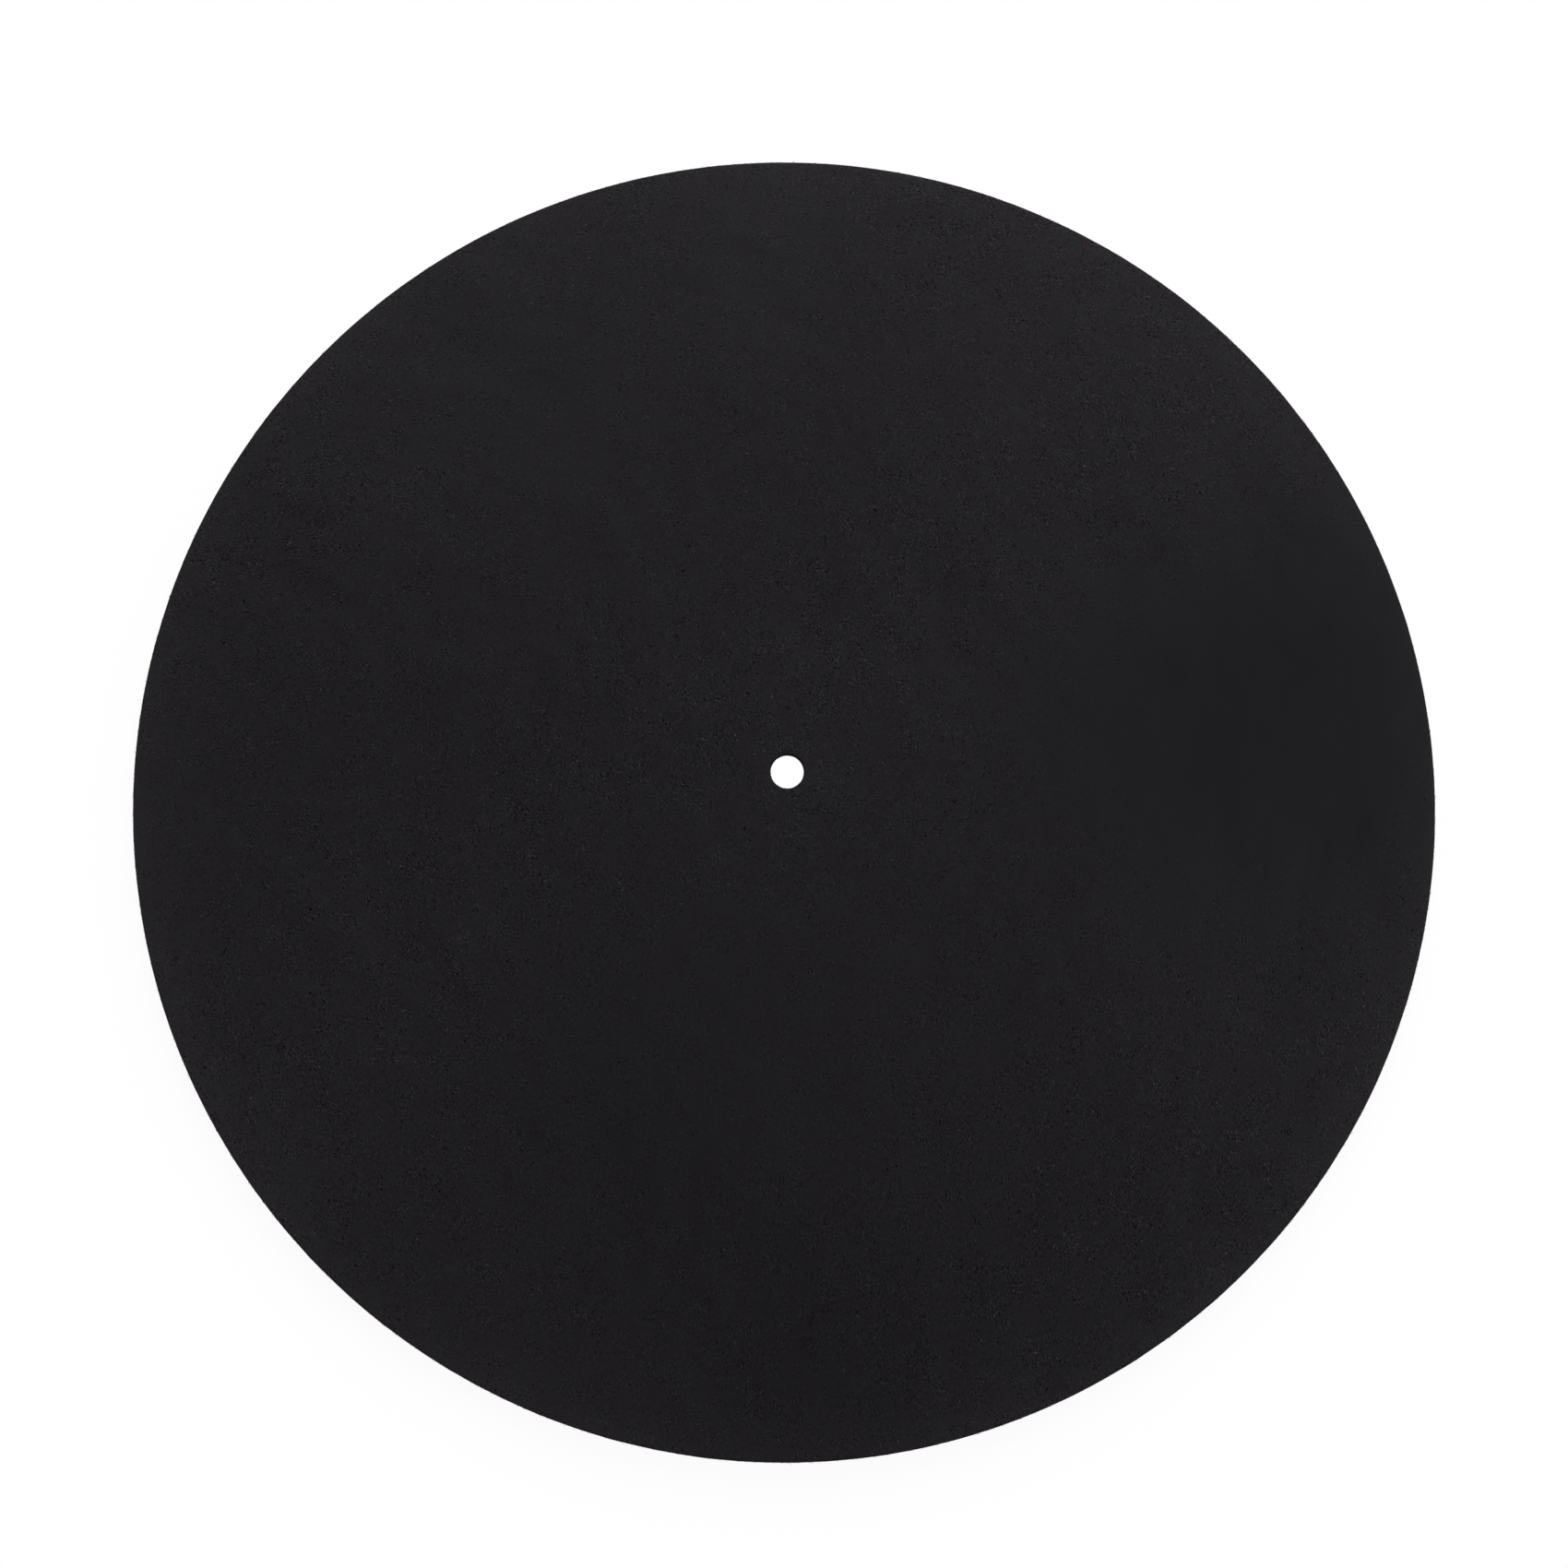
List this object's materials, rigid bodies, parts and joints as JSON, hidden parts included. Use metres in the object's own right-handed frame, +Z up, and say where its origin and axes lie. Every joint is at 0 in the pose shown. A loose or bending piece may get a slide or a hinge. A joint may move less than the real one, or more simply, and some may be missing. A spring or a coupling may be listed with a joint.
{
  "type": "turntable platter mat",
  "caption": "Round black felt mat that lies on a record player's platter, with a small centre hole for the spindle.",
  "frame": {"origin": "centre of the underside, on the axis of the spindle hole", "axes": "+Z up along the axis of the mat, from the platter towards the record; X and Y lie in the underside"},
  "size_m": [0.3, 0.3, 0.003],
  "materials": {
    "black_felt": "matt pressed felt, dyed through"
  },
  "bodies": {
    "root": {"platter_mat": "black_felt"}
  },
  "joints": []
}
